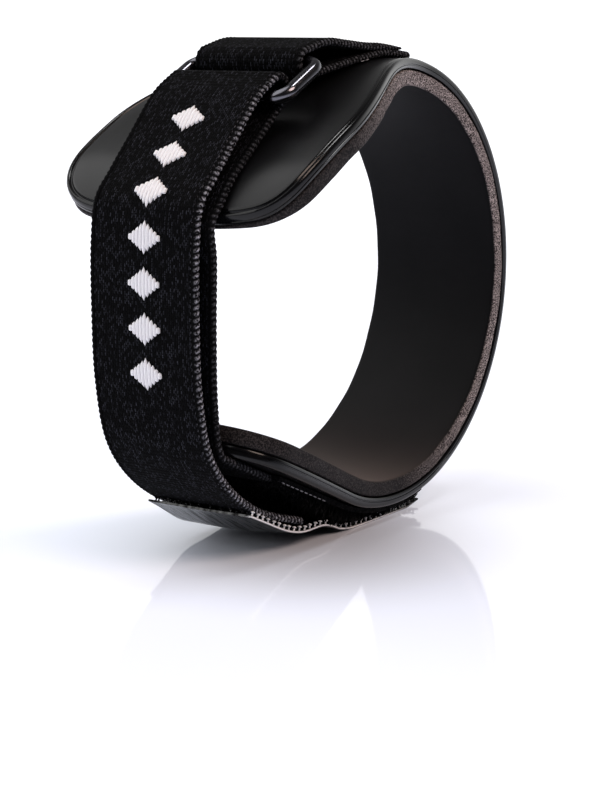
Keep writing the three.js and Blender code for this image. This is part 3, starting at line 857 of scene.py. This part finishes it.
# %% Pile patch
PATCH_FROM, PATCH_STEP, PATCH_COLUMNS = 165, 0.5, 9
PATCH_BACKING = 1.0
patch_length = np.arange(on_back(PATCH_FROM), BAND_LENGTH - SEWN_LENGTH - SEAT, PATCH_STEP)
patch_line = np.column_stack(on_band(patch_length, BAND + SEAT))
patch_points, patch_caps = strip(patch_line, PATCH_WIDTH, 0.0, PATCH_BACKING, PATCH_COLUMNS)
patch_faces = grid_faces(*patch_points.shape[:2], wrap_columns=True)
patch = add_piece("pile_backing", patch_points, patch_faces, pile_nylon, patch_caps)
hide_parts("pile_patch")

LOOP_COUNT, LOOP_SPAN, LOOP_HEIGHT, LOOP_THREAD = 3900, 0.85, 0.85, 0.085
LOOP_SIDES, LOOP_STEPS, LOOP_HEIGHTS = 4, 7, (0.7, 1.0)
END_MARGIN, SIDE_MARGIN, LOOP_SUNK = 0.3, 0.2, 0.15
STAND_UP, STAND_AT, STAND_SPREAD = 3.2, -20.5, 10.5


def loop_shape():
    """An arch of thread: a half circle in the first and third axes, with a small round section."""
    turn = np.linspace(0, np.pi, LOOP_STEPS)[:, None]
    angle = np.linspace(0, 2 * np.pi, LOOP_SIDES, endpoint=False)[None, :]
    wide = LOOP_SPAN / 2 + LOOP_THREAD * np.cos(angle)
    high = np.sin(turn) * wide * LOOP_HEIGHT / (LOOP_SPAN / 2)
    points = np.stack(np.broadcast_arrays(np.cos(turn) * wide, LOOP_THREAD * np.sin(angle), high), axis=-1)
    return points.reshape(-1, 3), grid_faces(LOOP_STEPS, LOOP_SIDES, wrap_columns=True)


loop_points, loop_faces = loop_shape()
patch_run = line_frame(patch_line)[0]
loop_run = rng.uniform(END_MARGIN, patch_run[-1] - END_MARGIN, LOOP_COUNT)
loop_y = rng.uniform(-PATCH_WIDTH / 2 + SIDE_MARGIN, PATCH_WIDTH / 2 - SIDE_MARGIN, LOOP_COUNT)
loop_root, along, side, up = standing_on(patch_line, loop_run, loop_y, PATCH_BACKING - LOOP_SUNK)
spin = rng.uniform(0, 2 * np.pi, (LOOP_COUNT, 1))
first = along * np.cos(spin) + side * np.sin(spin)
second = side * np.cos(spin) - along * np.sin(spin)
loop_x = np.interp(loop_run, patch_run, patch_line[:, 0])
stand = 1 + STAND_UP * np.exp(-((loop_x - STAND_AT) / STAND_SPREAD) ** 2)
third = up * stand[:, None] * rng.uniform(*LOOP_HEIGHTS, (LOOP_COUNT, 1))
loop_axes = np.stack([first, second, third], axis=1)
loops = scatter("pile_loops", loop_points, loop_faces, loop_root, loop_axes, pile_nylon)

# %% [markdown]
# Sewing thread and woven floats are the same small thing: a grain of thread that lies on a strap, thick
# in its middle and thin at both ends. Each follows the strap's line, so long ones bend with it.

# %% Grains of thread on a strap
GRAIN_STEPS, GRAIN_SIDES, BLUNT, THINNEST = 9, 8, 6, 0.0004


def grains(name, line, start, end, across, lift, radius, material):
    """Threads along a strap from start to end: a blunt ellipse along the run, round in section."""
    run, normal = line_frame(line)
    share = np.linspace(0, 1, GRAIN_STEPS)
    girth = radius * np.sqrt(np.clip(1 - (2 * share - 1) ** BLUNT, THINNEST, 1))[None, :, None]
    angle = np.linspace(0, 2 * np.pi, GRAIN_SIDES, endpoint=False)[None, None, :]
    place = start[:, None] + (end - start)[:, None] * share[None, :]
    at = [np.interp(place, run, part)[..., None] for part in (*line.T, *normal.T)]
    h = np.broadcast_to(lift + girth * np.sin(angle), (len(start), GRAIN_STEPS, GRAIN_SIDES))
    y = np.broadcast_to(across[:, None, None] + girth * np.cos(angle), h.shape)
    points = np.stack([at[0] + at[2] * h, y, at[1] + at[3] * h], axis=-1)
    faces = grid_faces(GRAIN_STEPS, GRAIN_SIDES, wrap_columns=True)
    shift = np.arange(len(start))[:, None, None] * GRAIN_STEPS * GRAIN_SIDES
    return add_piece(name, points, (faces[None] + shift).reshape(-1, 4), material)


# %% [markdown]
# Two short seams show on the near side: one along the edge of the pile patch, and one where the anchor
# strap is sewn down. Every stitch is a grain with a gap after it.

# %% Stitches
PATCH_SEAM, ANCHOR_SEAM_FROM, ANCHOR_SEAM_TO = 17.5, 7.6, 11.6
STITCH, STITCH_GAP, STITCH_RADIUS, SEAM_OUT = 1.2, 0.5, 0.1, 0.1


def seam(name, line, first, last, across, lift):
    """Stitches of one length from one running length to another, on one side of a strap."""
    start = np.arange(first, last - STITCH, STITCH + STITCH_GAP)
    return grains(name, line, start, start + STITCH, np.full(len(start), across), lift, STITCH_RADIUS,
                  sewing_thread)


patch_seam = seam("patch_stitches", patch_line, patch_run[-1] - PATCH_SEAM, patch_run[-1],
                  -PATCH_WIDTH / 2 - SEAM_OUT, PATCH_BACKING)
crest_run = run_to(anchor_line, on_shell(on_back(np.array([0])))[0])
anchor_seam = seam("anchor_stitches", anchor_line, crest_run + ANCHOR_SEAM_FROM, crest_run + ANCHOR_SEAM_TO,
                   -STRAP_WIDTH / 2 - SEAM_OUT, STRAP_THICKNESS / 3)

# %% [markdown]
# Down the middle of the strap the weaver lets white warp threads float in a row of plain lozenges. Each
# lozenge is a bundle of floats side by side, longest in the middle, which gives the stepped edge that
# woven figures have.

# %% Woven lozenges
FLOAT_PITCH, FLOAT_RADIUS, FLOAT_RISE = 0.8, 0.42, 0.02
LOZENGE_LENGTH, LOZENGE_PITCH, LOZENGE_COUNT, FIRST_LOZENGE = 6.2, 8.4, 7, 13
LOZENGE_FLOATS = np.arange(-4, 5)
middles = fold_end + FIRST_LOZENGE + LOZENGE_PITCH * np.arange(LOZENGE_COUNT)
half_floats = LOZENGE_LENGTH / 2 * (1 - np.abs(LOZENGE_FLOATS) / (LOZENGE_FLOATS.max() + 1))
start = (middles[:, None] - half_floats[None, :]).ravel()
end = (middles[:, None] + half_floats[None, :]).ravel()
across = np.tile(LOZENGE_FLOATS * FLOAT_PITCH, LOZENGE_COUNT)
lozenges = grains("woven_lozenges", strap_line, start, end, across, -STRAP_THICKNESS / 2 - FLOAT_RISE,
                  FLOAT_RADIUS, pale_thread)

# %% [markdown]
# Each cloth's cut size is worked out and printed: the straps' lines give their lengths.

strap_cut = (STRAP_WIDTH * MM, len(strap_line) * CLOTH_STEP * MM)
anchor_cut = (STRAP_WIDTH * MM, len(anchor_line) * CLOTH_STEP * MM)
tape_cut = (STRAP_WIDTH * MM, tape_length * MM)
patch_cut = (PATCH_WIDTH * MM, patch_run[-1] * MM)
cut_sizes = np.array([strap_cut, anchor_cut, tape_cut, patch_cut]) / MM
print("cut sizes in mm:", cut_sizes.round(1).tolist())

# %% [markdown]
# The stage is a wide glossy white sheet that glows a little, as painted light that washes out the shadows on
# the floor. Close round the foot the glow fades out, which paints a soft dark contact shadow there. Three
# lights stand far off: a broad soft one behind on the left, a warm fill in front, and a small one overhead.
# The room has a white card low behind the object and is dark elsewhere. Black things are drawn by what they
# reflect, so the dark front keeps the near faces black and the card draws their edges.

# %% Floor, light and room
FLOOR_HALF = 6.0
# painted shadow round the foot: where the floor's painted glow starts and ends, its middle, and the glow's
# strength
SHADOW_INNER, SHADOW_OUTER = 0.012, 0.055
SHADOW_MIDDLE = (-0.02, -0.008, 0)
PAINTED_FLOOR_GLOW = 0.34
floor_mesh = bpy.data.meshes.new("floor")
floor_corners = FLOOR_HALF * np.array([(-1, -1, 0), (1, -1, 0), (1, 1, 0), (-1, 1, 0)])
floor_mesh.from_pydata(floor_corners.tolist(), [], [(0, 1, 2, 3)])
floor = bpy.data.objects.new("floor", floor_mesh)
bpy.context.scene.collection.objects.link(floor)


def glowing_floor_painted_shadow():
    material, tree, out = new_material("white_floor_painted_glow_and_shadow")
    where = add_node(tree, "TexCoord").outputs["Object"]
    # the floor's glow is painted light, faded out round the foot as a painted contact shadow
    from_foot = add_node(tree, "VectorMath", {"operation": "DISTANCE"}, in_0=where, in_1=SHADOW_MIDDLE)
    glow = add_node(tree, "MapRange", {"interpolation_type": "SMOOTHSTEP"}, Value=from_foot.outputs["Value"],
                    From_Min=SHADOW_INNER, From_Max=SHADOW_OUTER, To_Min=0.0, To_Max=PAINTED_FLOOR_GLOW)
    coat(tree, out, Base_Color=linear("#e6eaf6"), Roughness=0.06, IOR=1.33, Emission_Color=linear("#e2e8fa"),
         Emission_Strength=glow.outputs["Result"])
    return material


floor_mesh.materials.append(glowing_floor_painted_shadow())


def add_sun(name, towards, strength, spread, colour="#ffffff"):
    """A broad soft light from far away; towards points from the object to the light."""
    lamp = bpy.data.lights.new(name, "SUN")
    lamp.energy = strength
    lamp.color = linear(colour)[:3]
    lamp.angle = np.radians(spread)
    made = bpy.data.objects.new(name, lamp)
    made.rotation_mode = "QUATERNION"
    made.rotation_quaternion = Vector(towards).to_track_quat("Z", "Y")
    bpy.context.scene.collection.objects.link(made)


add_sun("overhead_softbox", towards=(-0.45, 0.48, 0.75), strength=2.4, spread=84)
add_sun("near_fill", towards=(0.05, -0.7, 0.7), strength=1.35, spread=30, colour="#ffe6d8")
add_sun("small_spot", towards=(0.3, -0.2, 0.93), strength=0.4, spread=10)

CARD_TOWARDS, CARD_GLOW, CARD_EDGE = (0.826, 0.564, 0), 1.1, 0.75
CARD_FADES, CARD_GONE, ABOVE_CARD, DARK_ROOM = 0.15, 0.6, 0.12, 0.04
world = bpy.data.worlds.new("studio")
bpy.context.scene.world = world
world.use_nodes = True
room = world.node_tree
room.nodes.clear()
heading = add_node(room, "TexCoord").outputs["Generated"]
behind = add_node(room, "VectorMath", {"operation": "DOT_PRODUCT"}, in_0=heading, in_1=CARD_TOWARDS)
height = add_node(room, "SeparateXYZ", Vector=heading)
card = add_node(room, "MapRange", {"interpolation_type": "SMOOTHSTEP"}, Value=behind.outputs["Value"],
                From_Min=0.0, From_Max=CARD_EDGE, To_Min=0.0, To_Max=CARD_GLOW)
card_top = add_node(room, "MapRange", {"interpolation_type": "SMOOTHSTEP"}, Value=height.outputs["Z"],
                    From_Min=CARD_FADES, From_Max=CARD_GONE, To_Min=1.0, To_Max=ABOVE_CARD)
bright = add_node(room, "Math", {"operation": "MULTIPLY_ADD"}, in_0=card.outputs["Result"],
                  in_1=card_top.outputs["Result"], in_2=DARK_ROOM)
backdrop = add_node(room, "Background", Color=(1, 1, 1, 1), Strength=bright.outputs["Value"])
room.links.new(backdrop.outputs["Background"], room.nodes.new("ShaderNodeOutputWorld").inputs["Surface"])
bpy.context.scene.view_settings.view_transform = "Standard"
print("lights:", [lamp.name for lamp in bpy.data.lights])

# %% [markdown]
# The camera stands to the left of the open side, a little above the middle, as a long lens in a studio
# would. Its place is given by a bearing, a height angle and a distance from the middle of the back.

# %% Camera
BEARING, HEIGHT_ANGLE, DISTANCE = np.radians(-56.44), np.radians(7.41), 418.2
LOOK_BEARING, LOOK_DOWN = np.radians(-55.45), np.radians(10.85)
LENS, NEAREST = 90.0, 0.01
level = np.cos(HEIGHT_ANGLE)
camera_place = DISTANCE * np.array([np.sin(BEARING) * level, -np.cos(BEARING) * level, np.sin(HEIGHT_ANGLE)])
camera_data = bpy.data.cameras.new("camera")
camera_data.lens = LENS
camera_data.clip_start = NEAREST
camera = bpy.data.objects.new("camera", camera_data)
camera.location = into_frame(camera_place)
camera.rotation_euler = (np.pi / 2 - LOOK_DOWN, 0, LOOK_BEARING)
bpy.context.scene.collection.objects.link(camera)
bpy.context.scene.camera = camera
print("camera at", [round(v, 3) for v in camera.location])
